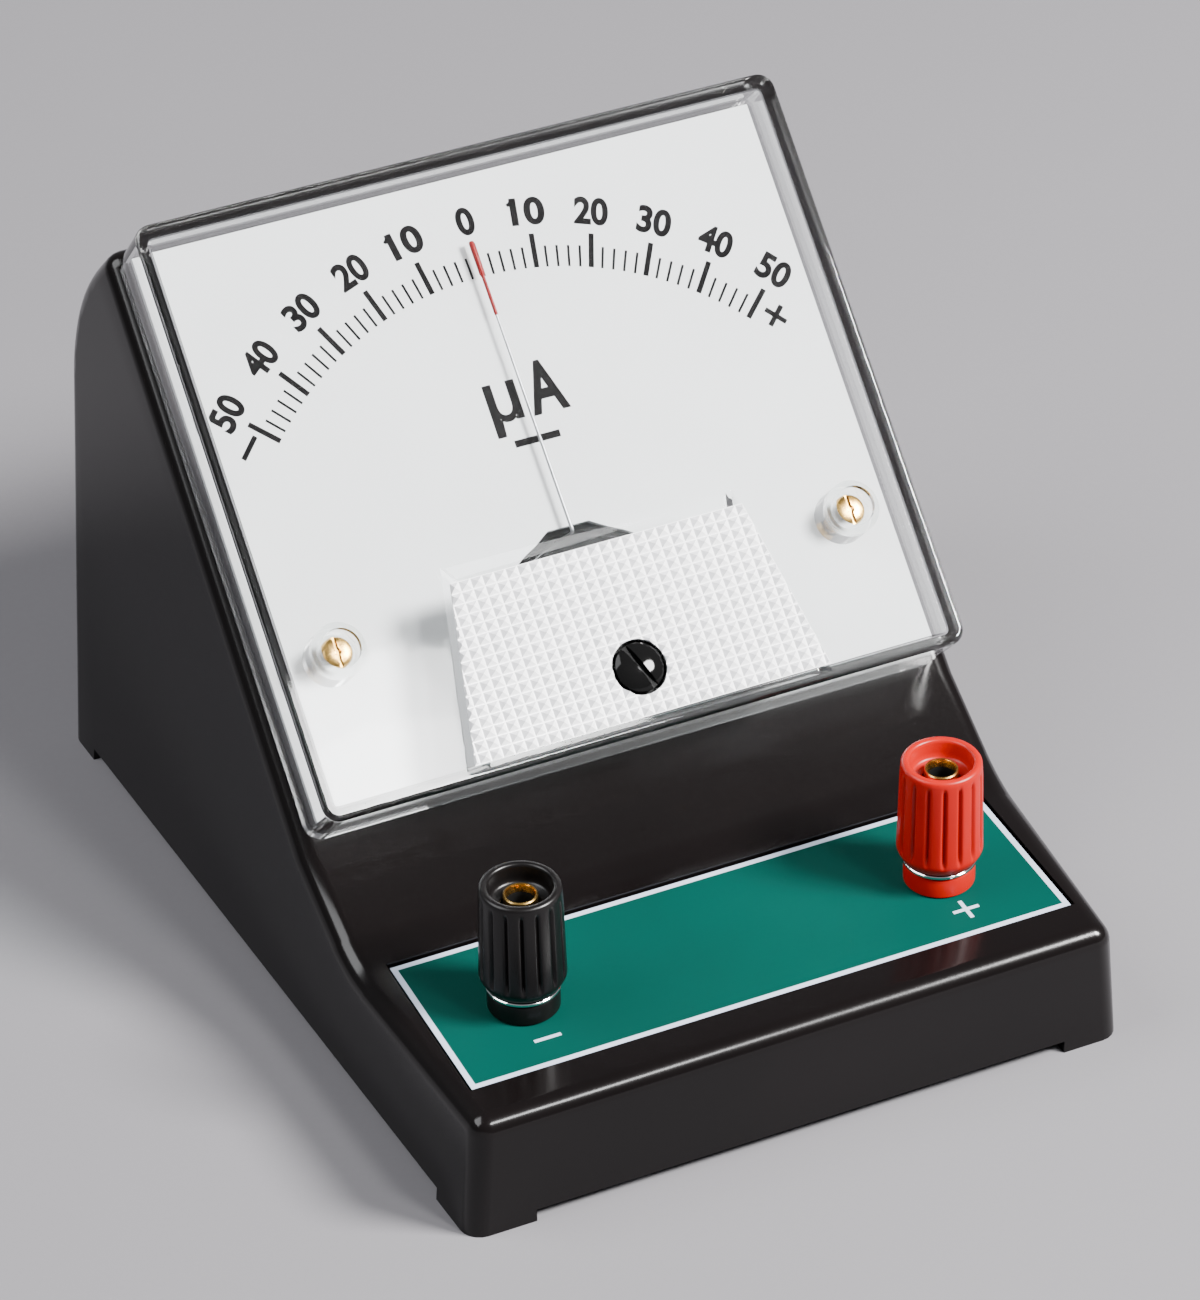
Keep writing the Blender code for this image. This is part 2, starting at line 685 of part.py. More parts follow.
def make_coil():
    former = frame_solid("coil_former", 6.9, 6.4, 2.0, (-22.9, -10.1), (-22.4, -10.6))
    dress(former, ALUMINIUM, 0.35, 1)
    winding = frame_solid("coil_winding", 8.0, 7.2, 1.7, (-24.2, -8.8), (-23.2, -9.8))
    dress(winding, COPPER, 0.4, 0.8)
    front = [(0, -5.3), (0.25, -5.45), (0.5, -6.2), (0.5, -8.0), (1.2, -8.0), (1.2, -8.5),
             (0, -8.5)]
    rear = [(0, -24.5), (1.2, -24.5), (1.2, -25.0), (0.5, -25.0), (0.5, -27.2),
            (0.25, -27.95), (0, -28.1)]
    dress(turned("pivot_front", "pivot", 0, 0, front, 16), STEEL, 0.2, 1)
    dress(turned("pivot_rear", "pivot", 0, 0, rear, 16), STEEL, 0.2, 1)


def needle_mesh():
    """The needle's upper run, tapered towards its tip."""
    bm = box_mesh((-0.35, 10.4, 1.5), (0.35, POINTER_LENGTH, 2.1))
    for vert in bm.verts:
        if vert.co.y > POINTER_LENGTH / 2:
            vert.co.x *= 0.6
    return bm


def make_pointer():
    hub = [(2.2, -6.7), (2.2, -7.6), (0.85, -7.6), (0.85, -6.7)]
    pointer = turned("pointer", "pivot", 0, 0, hub, 24)
    arm = box("pointer_arm", "pivot", (-0.4, 1.6, -7.4), (0.4, 10.7, -6.9), True)
    riser = box("pointer_riser", "pivot", (-0.5, 10.2, -7.2), (0.5, 10.9, 1.8), True)
    needle = add_solid("pointer_needle", needle_mesh(), "pivot", cutter=True)
    pieces = [arm, riser, needle]
    for side, turn in (("left", 140), ("right", -140)):
        bm = box_mesh((-0.3, 1.7, -7.3), (0.3, 4.6, -7.0))
        tail = add_solid("pointer_tail_" + side, bm, "pivot", cutter=True)
        tail.rotation_euler = (0, 0, math.radians(turn))
        pieces.append(tail)
        make_balance_weight(side, math.radians(turn))
    join(pointer, *pieces)
    for piece in pieces[:3]:
        lean_about_pivot(piece)
    return dress(pointer, ALUMINIUM, 0.25, 1)


def lean_about_pivot(piece):
    """Turns a piece to the needle's rest angle, about the pivot axis."""
    turn = Matrix.Rotation(POINTER_REST, 3, "Z")
    piece.location = turn @ piece.location
    piece.rotation_euler = (0, 0, POINTER_REST)


def make_balance_weight(side, turn):
    x, s = -5.85 * math.sin(turn), 5.85 * math.cos(turn)
    weight = rod("balance_weight_" + side, "pivot", x, s, 0.9, -7.8, -6.3, 16)
    dress(weight, BRASS, 0.3, 1)


def make_zero_lever():
    ring = [(3.0, -2.3), (3.0, -2.9), (1.75, -2.9), (1.75, -2.3)]
    lever = turned("zero_lever", "pivot", 0, 0, ring, 24)
    join(lever, box("lever_arm", "pivot", (-0.9, -12.5, -2.85), (0.9, -2.3, -2.35), True))
    join(lever, box("lever_fork", "pivot", (-1.9, -15.6, -2.9), (1.9, -11.6, -2.3), True))
    cut(lever, box("fork_slot", "pivot", (-1.05, -18, -4), (1.05, -12.7, -1), True))
    join(lever, rod("lever_stud", "pivot", 0, -4.6, 0.4, -5.9, -2.6, 12, True))
    return dress(lever, BRASS, 0.35, 1)


# ---------------------------------------------------------------- terminals
def flute_cutter(side):
    """Twelve grooves round a cap, as one cutter."""
    bm = bmesh.new()
    for x, y in polygon(6.42, 12):
        bmesh.ops.create_cone(bm, cap_ends=True, segments=10, radius1=0.8, radius2=0.8,
                              depth=13.4, matrix=Matrix.Translation((x, y, 32.1)))
    return add_solid(side + "_flutes", bm, side + "_terminal", cutter=True)


def make_cap(side, colour):
    bore = SOCKET_RADIUS + 0.35
    profile = [(4.5, CAP_TOP), (5.3, CAP_TOP), (5.67, CAP_TOP - 0.4), (5.9, 36.5), (6.1, 26.6),
               (6.1, 25.4), (5.3, CAP_BOTTOM), (bore, CAP_BOTTOM), (bore, 36.9), (3.9, 37.3),
               (4.3, 39.7)]
    cap = turned(side + "_terminal_cap", side + "_terminal", 0, 0, profile, 36)
    cut(cap, flute_cutter(side))
    return dress(cap, colour, 0.35)


def make_stud(side):
    low = CAP_BOTTOM - 0.7
    profile = [(0, 38.6), (SOCKET_RADIUS, 38.6), (SOCKET_RADIUS, low), (STUD_RADIUS, low),
               (STUD_RADIUS, 9.5), (0, 9.5)]
    stud = turned(side + "_terminal_stud", side + "_terminal", 0, 0, profile, 32)
    drill(stud, side + "_terminal", side + "_socket", 0, 0, PLUG_RADIUS, 27.0, 45, 32)
    return dress(stud, BRASS, 0.25, 1)


def make_terminal(side, colour):
    frame = side + "_terminal"
    hole = CLEARANCE_HOLE
    make_cap(side, colour)
    make_stud(side)
    washer = [(5.3, 23.4), (5.3, 22.9), (SOCKET_RADIUS + 0.35, 22.9),
              (SOCKET_RADIUS + 0.35, 23.4)]
    dress(turned(frame + "_washer", frame, 0, 0, washer, 32), STEEL, 0.15, 1)
    collar = [(5.08, 22.6), (5.08, LABEL_Z + GAP), (3.2, LABEL_Z + GAP), (3.2, 17.3),
              (hole, 17.3), (hole, 22.6)]
    dress(turned(frame + "_collar", frame, 0, 0, collar, 32), colour, 0.35)
    bush = [(5.0, 16.9), (5.0, 15.1), (hole, 15.1), (hole, 16.9)]
    dress(turned(frame + "_bush", frame, 0, 0, bush, 24), (0.75, 0.7, 0.6), 0.5)
    nut = slab(frame + "_nut", frame, polygon(4.4, 6), 12.4, 14.8)
    drill(nut, frame, frame + "_nut_hole", 0, 0, hole, 11, 16)
    dress(nut, BRASS, 0.3, 1)
    lug = [(3.5, 12.1), (3.5, 11.6), (hole, 11.6), (hole, 12.1)]
    tag = turned(frame + "_lug", frame, 0, 0, lug, 24)
    join(tag, box(frame + "_lug_tab", frame, (-1.3, 2.9, 11.65), (1.3, 9.0, 12.05), True))
    dress(tag, STEEL, 0.3, 1)


def smooth_route(knots, steps=4):
    """Points along a Catmull-Rom curve through the knots."""
    ends = [2 * knots[0] - knots[1]] + knots + [2 * knots[-1] - knots[-2]]
    points = []
    for k in range(1, len(ends) - 2):
        before, start, end, after = ends[k - 1:k + 3]
        for step in range(steps):
            t = step / steps
            points.append(0.5 * (2 * start + (end - before) * t
                                 + (2 * before - 5 * start + 4 * end - after) * t ** 2
                                 + (3 * start - before - 3 * end + after) * t ** 3))
    return points + [knots[-1]]


def make_leads():
    """Leads from the solder lugs up to the movement plate's lower corners."""
    for side, x, colour in (("black", -1, BLACK), ("red", 1, RED)):
        lug_end = Vector((x * TERMINAL_X, TERMINAL_Y + 9.9, 11.85))
        knots = [lug_end, lug_end + Vector((0, 7, -2.5)), Vector((x * 33, 52, 8.5)),
                 Vector((x * 31, 62, 14)), Vector((x * 27.5, 63.5, 22))]
        dress(wire("lead_" + side, "front_edge", smooth_route(knots), 0.6), colour, 0.5)


def main():
    clear_scene()
    make_collections()
    make_frames()
    make_case()
    make_base_plate()
    make_case_screws()
    make_cover()
    make_zero_screw()
    make_dial()
    make_label()
    make_movement_plate()
    make_magnet_system()
    make_bridges()
    make_bearings()
    make_hairsprings()
    make_coil()
    make_pointer()
    make_zero_lever()
    make_terminal("black", BLACK)
    make_terminal("red", RED)
    make_leads()


main()
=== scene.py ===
"""The looks of the centre-zero galvanometer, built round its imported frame.

Shapes are made in millimetres and turned into metres as they are placed. Pieces on the
sloping face use the face frame: X to the right, Y up the slope from the cover's lower
edge, and Z out of the dial.
"""
import json
import math

import bmesh
import bpy
from mathutils import Matrix, Vector


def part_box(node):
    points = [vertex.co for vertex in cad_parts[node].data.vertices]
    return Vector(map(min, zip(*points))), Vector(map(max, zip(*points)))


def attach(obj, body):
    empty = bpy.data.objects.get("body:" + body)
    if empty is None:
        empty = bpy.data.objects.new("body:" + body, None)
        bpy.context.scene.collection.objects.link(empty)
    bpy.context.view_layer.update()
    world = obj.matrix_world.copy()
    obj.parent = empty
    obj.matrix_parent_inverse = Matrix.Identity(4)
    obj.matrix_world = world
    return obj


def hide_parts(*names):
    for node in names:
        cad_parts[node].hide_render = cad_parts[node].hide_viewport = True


MM = 0.001

# Clear cover
COVER_HALF_WIDTH = 49.57
COVER_LENGTH = 88.54
COVER_FOOT = -4.2
COVER_TOP = 8.13
COVER_SIDE_WALL = 1.8
COVER_FACE_WALL = 1.9
COVER_CORNER = 2.5
COVER_RIM = 0.8
INNER_CORNER = 1.0
INNER_RIM = 0.6
PANEL_TOP = 10.2
PANEL_LENGTH = 26.6
PANEL_HALF_TOP = 20.8
PANEL_HALF_BOTTOM = 25.9
PANEL_LOW = 1.2
PANEL_BEVEL_SIDE = 2.8
PANEL_BEVEL_TOP = 4.8
PANEL_EDGE = 0.35              # rounding of the panel's upper edges
CAVITY_LOW = 3.4
CAVITY_INSET = 0.55            # keeps the panel's slopes evenly thick
TEXTURE_LOW = 1.9
TEXTURE_LIFT = 0.12            # height of the sheet's valleys over the panel
TEXTURE_THICK = 0.1
PYRAMID_WIDTH = 1.78
PYRAMID_DEPTH = 1.6
PYRAMID_HEIGHT = 0.62
PYRAMID_VALLEY = 0.11
POST_X = 39.8
POST_S = 23.25
POST_RADIUS = 4.0
POST_MOUTH = 2.9
POST_FLOOR = 3.9
SCREW_HOLE = 1.5
ZERO_S = 8.92
ZERO_HOLE = 3.9
ZERO_RIM = 0.15                # plain rim left round the hole in the texture

# Cover screws, as heights over the dial
HEAD_TOP = 5.95
HEAD_RADIUS = 2.3
HEAD_UNDER = 4.2
SHANK_RADIUS = 1.2
SHANK_END = -12.0
SLOT_HALF = 0.26
SLOT_FLOOR = 5.45

# Dial print
PIVOT_S = 20.67
DIAL_TOP = 0.2
INK_LOW = 0.16
INK_HIGH = 0.225
FULL_SCALE = 50
FULL_ANGLE = math.radians(46.6)
TICK_INNER = 50.3
MAJOR_OUTER = 55.4
MAJOR_WIDTH = 0.78
MINOR_OUTER = 53.5
MINOR_WIDTH = 0.36
NUMBER_RADIUS = 58.8
NUMBER_HEIGHT = 4.25
DIGIT_WIDTH = 2.45
DIGIT_WEIGHT = 0.036
FLAG_WIDTH = 0.52              # the stroke at the top of each 1
FLAG_LENGTH = 1.35
FLAG_LEAN = math.radians(54)
FLAG_FOOT = (-2.95, 1.0)
MU_SIZE = (8.0, 4.9, 0.01)     # height, width and weight
MU_PLACE = (-3.25, 51.4, 0)
A_SIZE = (7.9, 5.8, 0.028)
A_PLACE = (3.4, 53.25, 0)
UNDERLINE_WIDTH = 1.05
UNDERLINE_REACH = 3.5
UNDERLINE_PLACE = (-0.1, 46.05)
SIGN_WIDTH = 0.75
MINUS_REACH = 1.95
MINUS_PLACE = (-41.2, 55.4)
PLUS_REACH = 1.8
PLUS_PLACE = (40.7, 54.5)

# Needle
NEEDLE_REST = math.radians(0.7)
NEEDLE_TIP = 55.4
NEEDLE_HEIGHT = 1.8
NEEDLE_RADIUS = 0.28
NEEDLE_BEND = 0.9
ARM_HEIGHT = -7.15             # the wire's level under the dial
ARM_START = 1.9
RISE_RADIUS = 10.5             # where the wire comes up through the dial
METAL_END = 44.2
TAIL_END = 4.6
TAIL_RADIUS = 0.3
TAIL_ANGLE = math.radians(140)

# Painted shade in the pointer's opening: black sheets round and below it, as radii from the pivot
# and heights over the dial
SHADE_SHEET_NEAR = 8.2
SHADE_SHEET_GAP = (9.85, 11.2)
SHADE_SHEET_FAR = 13.4
SHADE_SHEET_TOP = -1.3
SHADE_SHEET_FOOT = -6.3
SHADE_SHEET_FLOOR = -8.2
FLOOR_NEAR = 8.8
SHADE_SHEET_WALL = 0.15
SHADE_SHEET_THICK = 0.2
SHADE_SHEET_REACH = math.radians(62)
SHADE_PATCH_NEAR = 5.0               # painted shade: a black patch on the dial beside the opening
SHADE_PATCH_FAR = 9.28
SHADE_PATCH_REACH = math.radians(58)

# Shelf
LABEL_TOP = 19.34
LABEL_LINE = 0.85
LABEL_SIGN_X = 32
LABEL_SIGN_UP = 5.5
LABEL_SIGN_REACH = 2
LABEL_SIGN_HALF = 0.3
CAP_TOP = 40.06
CAP_FOOT = 23.7
CAP_STEPS = 256
FLUTES = 16
FLUTE_DEPTH = 0.5

# Camera: the point it looks at, and where it stands round that point
LOOK_AT = Vector((-1.499, -5.018, 42.972))
CAMERA_AZIMUTH = math.radians(23.809)
CAMERA_ELEVATION = math.radians(35.955)
CAMERA_ROLL = math.radians(-1.274)
CAMERA_DISTANCE = 776.83
CAMERA_LENS = 164.5

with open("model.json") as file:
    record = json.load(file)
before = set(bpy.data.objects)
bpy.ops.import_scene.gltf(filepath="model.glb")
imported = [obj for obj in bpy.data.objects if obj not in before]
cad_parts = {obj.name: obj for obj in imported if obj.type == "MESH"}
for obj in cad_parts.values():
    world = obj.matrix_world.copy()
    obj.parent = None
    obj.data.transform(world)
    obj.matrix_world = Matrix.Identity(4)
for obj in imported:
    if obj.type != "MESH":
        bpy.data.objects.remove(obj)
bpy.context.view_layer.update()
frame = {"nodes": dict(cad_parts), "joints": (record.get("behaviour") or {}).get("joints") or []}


# ---------------------------------------------------------------- placing
def joint(name):
    return next(item for item in frame["joints"] if item["name"] == name)


def face_matrix():
    """Takes face-frame millimetres to the row frame, from the needle's own joint."""
    swing = joint("needle_swing")
    outward = Vector(swing["axis"]).normalized()
    right = Vector((1, 0, 0))
    up_slope = outward.cross(right)
    origin = Vector(swing["pos_m"]) - up_slope * PIVOT_S * MM
    turn = Matrix((right, up_slope, outward)).transposed().to_4x4()
    return Matrix.Translation(origin) @ turn @ Matrix.Scale(MM, 4)


FACE = face_matrix()
PIVOT = FACE @ Matrix.Translation((0, PIVOT_S, 0))
FLOOR = Matrix.Scale(MM, 4)


def terminal_matrix(side):
    low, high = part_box(side + "_terminal_cap")
    centre = (low + high) / 2
    return Matrix.Translation((centre.x, centre.y, 0)) @ Matrix.Scale(MM, 4)


def shade(mesh, angle):
    mesh.shade_smooth()
    mesh.set_sharp_from_angle(angle=math.radians(angle))


def add_flats(item):
    """Keeps large flat faces flat under smooth shading."""
    normals = item.modifiers.new("Flats", "WEIGHTED_NORMAL")
    normals.weight = 95
    normals.keep_sharp = True


def place(name, mesh, matrix, material, body, replaces=(), smooth=35, flats=False):
    """One finished piece: its vertices in the row frame, its material and its body."""
    mesh.transform(matrix)
    mesh.name = name
    shade(mesh, smooth)
    mesh.materials.clear()
    mesh.materials.append(material)
    piece = bpy.data.objects.new(name, mesh)
    bpy.context.scene.collection.objects.link(piece)
    if flats:
        add_flats(piece)
    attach(piece, body)
    if replaces:
        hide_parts(*replaces)
    return piece


def to_mesh(bm):
    bmesh.ops.recalc_face_normals(bm, faces=bm.faces)
    mesh = bpy.data.meshes.new("shape")
    bm.to_mesh(mesh)
    bm.free()
    return mesh


# ---------------------------------------------------------------- shapes
def box(low, high):
    bm = bmesh.new()
    low, high = Vector(low), Vector(high)
    size = Matrix.Diagonal((*(high - low), 1))
    bmesh.ops.create_cube(bm, size=1, matrix=Matrix.Translation((low + high) / 2) @ size)
    return bm


def rod(x, y, radius, low, high, segments=48):
    bm = bmesh.new()
    bmesh.ops.create_cone(
        bm, cap_ends=True, segments=segments, radius1=radius, radius2=radius,
        depth=high - low, matrix=Matrix.Translation((x, y, (low + high) / 2)))
    return bm


def turned(profile, steps=72, flutes=0, depth=0.0):
    """Turns a closed (radius, height, flute share) profile about Z into a ring.

    Where a point's flute share is above zero, grooves of that share of the depth run
    round it."""
    bm = bmesh.new()
    rings = []
    for radius, height, share in profile:
        ring = []
        for k in range(steps):
            angle = math.tau * k / steps
            groove = max(0.0, math.cos(flutes * angle)) ** 4 if flutes else 0
            reach = radius - share * depth * groove
            ring.append(bm.verts.new((reach * math.cos(angle), reach * math.sin(angle), height)))
        rings.append(ring)
    for here, below in zip(rings, rings[1:] + rings[:1]):
        for k in range(steps):
            ahead = (k + 1) % steps
            bm.faces.new((here[k], below[k], below[ahead], here[ahead]))
    return bm


def plain(points):
    """A profile with no flutes."""
    return [(radius, height, 0) for radius, height in points]


def combine(base, steps):
    """Joins and cuts bmeshes by Boolean, and returns the finished mesh."""
    def temporary(bm):
        item = bpy.data.objects.new("tool", to_mesh(bm))
        bpy.context.scene.collection.objects.link(item)
        return item

    body = temporary(base)
    made = [body]
    for operation, bm in steps:
        tool = temporary(bm)
        made.append(tool)
        modifier = body.modifiers.new("step", "BOOLEAN")
        modifier.operation = operation
        modifier.object = tool
    graph = bpy.context.evaluated_depsgraph_get()
    result = bpy.data.meshes.new_from_object(body.evaluated_get(graph))
    for item in made:
        bpy.data.objects.remove(item)
    return result


def merge(parts):
    """Puts several bmeshes, each with its own matrix, into one mesh."""
    whole = bmesh.new()
    for bm, matrix in parts:
        mesh = to_mesh(bm)
        mesh.transform(matrix)
        whole.from_mesh(mesh)
        bpy.data.meshes.remove(mesh)
    mesh = bpy.data.meshes.new("shape")
    whole.to_mesh(mesh)
    whole.free()
    return mesh


def tube(points, radii):
    """A round wire with closed ends through the points."""
    curve = bpy.data.curves.new("wire", "CURVE")
    curve.dimensions = "3D"
    curve.bevel_depth = 1
    curve.bevel_resolution = 4
    curve.use_fill_caps = True
    spline = curve.splines.new("POLY")
    spline.points.add(len(points) - 1)
    for target, point, radius in zip(spline.points, points, radii):
        target.co = (*point, 1)
        target.radius = radius
    item = bpy.data.objects.new("wire", curve)
    bpy.context.scene.collection.objects.link(item)
    graph = bpy.context.evaluated_depsgraph_get()
    mesh = bpy.data.meshes.new_from_object(item.evaluated_get(graph))
    bpy.data.objects.remove(item)
    bm = bmesh.new()
    bm.from_mesh(mesh)
    bmesh.ops.remove_doubles(bm, verts=bm.verts, dist=0.0001)
    bpy.data.meshes.remove(mesh)
    return bm


# ---------------------------------------------------------------- materials
def surface(name, dark, light, roughness, metallic=0.0, grain=400, bump=0.02,
            patch=60, shine=0.5, subsurface=0.0, stretch=(1, 1, 1)):
    """A plain material with cloudy colour, uneven roughness and a fine grain.

    grain and patch are noise scales per metre; stretch draws the grain out."""
    material = bpy.data.materials.new(name)
    material.use_nodes = True
    nodes, links = material.node_tree.nodes, material.node_tree.links
    shader = nodes["Principled BSDF"]
    shader.inputs["Metallic"].default_value = metallic
    shader.inputs["Specular IOR Level"].default_value = shine
    shader.inputs["Subsurface Weight"].default_value = subsurface
    shader.inputs["Subsurface Scale"].default_value = 0.002
    place_node = nodes.new("ShaderNodeTexCoord")
    drawn = nodes.new("ShaderNodeMapping")
    drawn.inputs["Scale"].default_value = stretch
    links.new(place_node.outputs["Object"], drawn.inputs["Vector"])

    cloud = nodes.new("ShaderNodeTexNoise")
    cloud.inputs["Scale"].default_value = patch
    cloud.inputs["Detail"].default_value = 6
    ramp = nodes.new("ShaderNodeValToRGB")
    ramp.color_ramp.elements[0].color = (*dark, 1)
    ramp.color_ramp.elements[1].color = (*light, 1)
    ramp.color_ramp.elements[0].position = 0.3
    ramp.color_ramp.elements[1].position = 0.7
    links.new(drawn.outputs["Vector"], cloud.inputs["Vector"])
    links.new(cloud.outputs["Fac"], ramp.inputs["Fac"])
    links.new(ramp.outputs["Color"], shader.inputs["Base Color"])

    fine = nodes.new("ShaderNodeTexNoise")
    fine.inputs["Scale"].default_value = grain
    fine.inputs["Detail"].default_value = 4
    links.new(drawn.outputs["Vector"], fine.inputs["Vector"])
    spread = nodes.new("ShaderNodeMapRange")
    spread.inputs["To Min"].default_value = roughness[0]
    spread.inputs["To Max"].default_value = roughness[1]
    links.new(fine.outputs["Fac"], spread.inputs["Value"])
    links.new(spread.outputs["Result"], shader.inputs["Roughness"])
    relief = nodes.new("ShaderNodeBump")
    relief.inputs["Strength"].default_value = bump
    relief.inputs["Distance"].default_value = 0.0002
    links.new(fine.outputs["Fac"], relief.inputs["Height"])
    links.new(relief.outputs["Normal"], shader.inputs["Normal"])
    return material


def clear_acrylic():
    """Polished acrylic that lets light through to the dial without dark caustics."""
    material = surface("clear_acrylic", (0.975, 0.978, 0.985), (0.988, 0.99, 0.993),
                       (0.01, 0.05), grain=900, bump=0.004)
    nodes, links = material.node_tree.nodes, material.node_tree.links
    shader = nodes["Principled BSDF"]
    shader.inputs["Transmission Weight"].default_value = 1
    shader.inputs["IOR"].default_value = 1.49
    path = nodes.new("ShaderNodeLightPath")
    either = nodes.new("ShaderNodeMath")
    either.operation = "MAXIMUM"
    links.new(path.outputs["Is Shadow Ray"], either.inputs[0])
    links.new(path.outputs["Is Diffuse Ray"], either.inputs[1])
    through = nodes.new("ShaderNodeBsdfTransparent")
    through.inputs["Color"].default_value = (0.9, 0.92, 0.92, 1)
    mixed = nodes.new("ShaderNodeMixShader")
    links.new(either.outputs["Value"], mixed.inputs["Fac"])
    links.new(shader.outputs["BSDF"], mixed.inputs[1])
    links.new(through.outputs["BSDF"], mixed.inputs[2])
    links.new(mixed.outputs["Shader"], nodes["Material Output"].inputs["Surface"])
    return material


def textured_acrylic(name, dark, light):
    """Moulded acrylic seen from its rough side: mostly white, part clear, with sharp glints."""
    material = surface(name, dark, light, (0.1, 0.2), grain=1400, bump=0.02, patch=500,
                       shine=0.8)
    shader = material.node_tree.nodes["Principled BSDF"]
    shader.inputs["Transmission Weight"].default_value = 0.15
    shader.inputs["IOR"].default_value = 1.49
    return material


def make_materials():
    brushed = (1, 1, 14)
    return {
        "case": surface("case_plastic", (0.002, 0.0014, 0.0014), (0.003, 0.0022, 0.0022),
                        (0.14, 0.21), grain=2600, bump=0.015, patch=25, shine=0.26),
        "gloss": surface("gloss_black", (0.002, 0.002, 0.002), (0.004, 0.004, 0.004),
                         (0.05, 0.1), grain=1800, bump=0.01, patch=90, shine=0.16),
        # Painted shade: near-black sheets that darken the pointer's opening and the terminal
        # sockets.
        "shade": surface("slot_painted_shade", (0.0012, 0.0012, 0.0012), (0.003, 0.003, 0.003),
                         (0.75, 0.9), grain=900, bump=0.1, patch=90, shine=0.05),
        "base": surface("base_board", (0.008, 0.0075, 0.007), (0.014, 0.013, 0.012),
                        (0.6, 0.8), grain=900, bump=0.15, patch=90),
        "clear": clear_acrylic(),
        "textured": textured_acrylic("texture_bright", (0.96, 0.963, 0.97), (0.98, 0.98, 0.985)),
        # Painted shade: a greyer copy of the textured acrylic for the pyramid facets turned up
        # the slope or to the left.
        "textured_painted_shade": textured_acrylic("texture_painted_shade", (0.56, 0.565, 0.585), (0.7, 0.7, 0.72)),
        "dial": surface("dial_paint", (0.615, 0.61, 0.615), (0.66, 0.655, 0.66),
                        (0.5, 0.62), grain=2600, bump=0.05, patch=30, shine=0.2),
        "ink": surface("scale_ink", (0.0015, 0.0012, 0.0012), (0.003, 0.0025, 0.0025),
                       (0.5, 0.65), grain=1500, bump=0.04, patch=300, shine=0.01),
        "label": surface("label_print", (0.0, 0.034, 0.026), (0.0, 0.04, 0.031),
                         (0.4, 0.55), grain=2500, bump=0.05, patch=30, shine=0.04),
        "label_white": surface("label_line", (0.36, 0.41, 0.5), (0.42, 0.47, 0.56),
                               (0.4, 0.5), grain=2000, bump=0.04, patch=80, shine=0.1),
        "black_cap": surface("cap_black", (0.0018, 0.0015, 0.0015), (0.0034, 0.0028, 0.0028),
                             (0.24, 0.38), grain=1500, bump=0.04, patch=120, shine=0.25),
        "red_cap": surface("cap_red", (0.27, 0.0016, 0.0003), (0.32, 0.0022, 0.0005),
                           (0.28, 0.4), grain=1500, bump=0.04, patch=120, shine=0.25,
                           subsurface=0.05),
        "brass": surface("brass_bright", (0.42, 0.24, 0.06), (0.7, 0.45, 0.14),
                         (0.16, 0.34), 1, grain=1600, bump=0.08, patch=400),
        "brass_plain": surface("brass_machined", (0.5, 0.34, 0.13), (0.7, 0.5, 0.22),
                               (0.25, 0.45), 1, grain=900, bump=0.06, patch=150,
                               stretch=brushed),
        "steel": surface("zinc_steel", (0.5, 0.5, 0.52), (0.68, 0.68, 0.7),
                         (0.22, 0.42), 1, grain=1200, bump=0.05, patch=200),
        "pole": surface("pole_steel", (0.36, 0.36, 0.38), (0.52, 0.52, 0.54),
                        (0.3, 0.5), 1, grain=700, bump=0.08, patch=90, stretch=brushed),
        "magnet": surface("magnet_alloy", (0.09, 0.09, 0.095), (0.2, 0.2, 0.21),
                          (0.45, 0.7), 0.7, grain=600, bump=0.3, patch=120),
        "chrome": surface("bright_plate", (0.75, 0.76, 0.78), (0.86, 0.87, 0.88),
                          (0.05, 0.14), 1, grain=1500, bump=0.02, patch=200),
        "aluminium": surface("drawn_aluminium", (0.68, 0.68, 0.69), (0.82, 0.82, 0.83),
                             (0.3, 0.45), 1, grain=1500, bump=0.04, patch=300),
        "needle_metal": surface("needle_metal", (0.3, 0.3, 0.31), (0.42, 0.42, 0.43),
                                (0.25, 0.4), 1, grain=1500, bump=0.04, patch=300),
        "copper": surface("copper_winding", (0.42, 0.13, 0.05), (0.72, 0.3, 0.14),
                          (0.25, 0.4), 1, grain=1200, bump=0.4, patch=600, stretch=(1, 1, 8)),
        "fibre": surface("bush_fibre", (0.4, 0.35, 0.27), (0.52, 0.47, 0.38),
                         (0.55, 0.75), grain=900, bump=0.15, patch=200),
        "needle_red": surface("needle_red", (0.13, 0.0005, 0.001), (0.17, 0.001, 0.0015),
                              (0.35, 0.5), grain=1500, bump=0.03, patch=300, shine=0.15),
        "lead_black": surface("lead_black", (0.01, 0.01, 0.01), (0.02, 0.02, 0.02),
                              (0.4, 0.55), grain=900, bump=0.08, patch=200),
        "lead_red": surface("lead_red", (0.25, 0.006, 0.005), (0.35, 0.01, 0.008),
                            (0.4, 0.55), grain=900, bump=0.08, patch=200),
    }


MATERIAL = make_materials()

NODE_LOOKS = {
    "case": ["case_shell"],
    "gloss": ["zero_adjust_screw"],
    "base": ["base_plate"],
    "dial": ["dial_plate"],
    "label": ["label_plate"],
    "brass_plain": ["movement_plate", "core_clamp", "front_bridge", "rear_bridge",
                    "lock_nut_front", "lock_nut_rear", "hairspring_front", "hairspring_rear",
                    "zero_lever", "balance_weight_left", "balance_weight_right",
                    "pointer_stop_left", "pointer_stop_right", "black_terminal_nut",
                    "red_terminal_nut"],
    "steel": ["base_screw_1", "base_screw_2", "base_screw_3", "base_screw_4",
              "movement_screw_1", "movement_screw_2", "movement_screw_3", "movement_screw_4",
              "bridge_screw_left", "bridge_screw_right", "jewel_screw_front",
              "jewel_screw_rear", "black_terminal_lug", "red_terminal_lug"],
    "pole": ["pole_piece_left", "pole_piece_right", "iron_core", "pivot_front", "pivot_rear"],
    "magnet": ["magnet"],
    "aluminium": ["coil_former"],
    "copper": ["coil_winding"],
    "fibre": ["black_terminal_bush", "red_terminal_bush"],
    "lead_black": ["lead_black"],
    "lead_red": ["lead_red"],
}


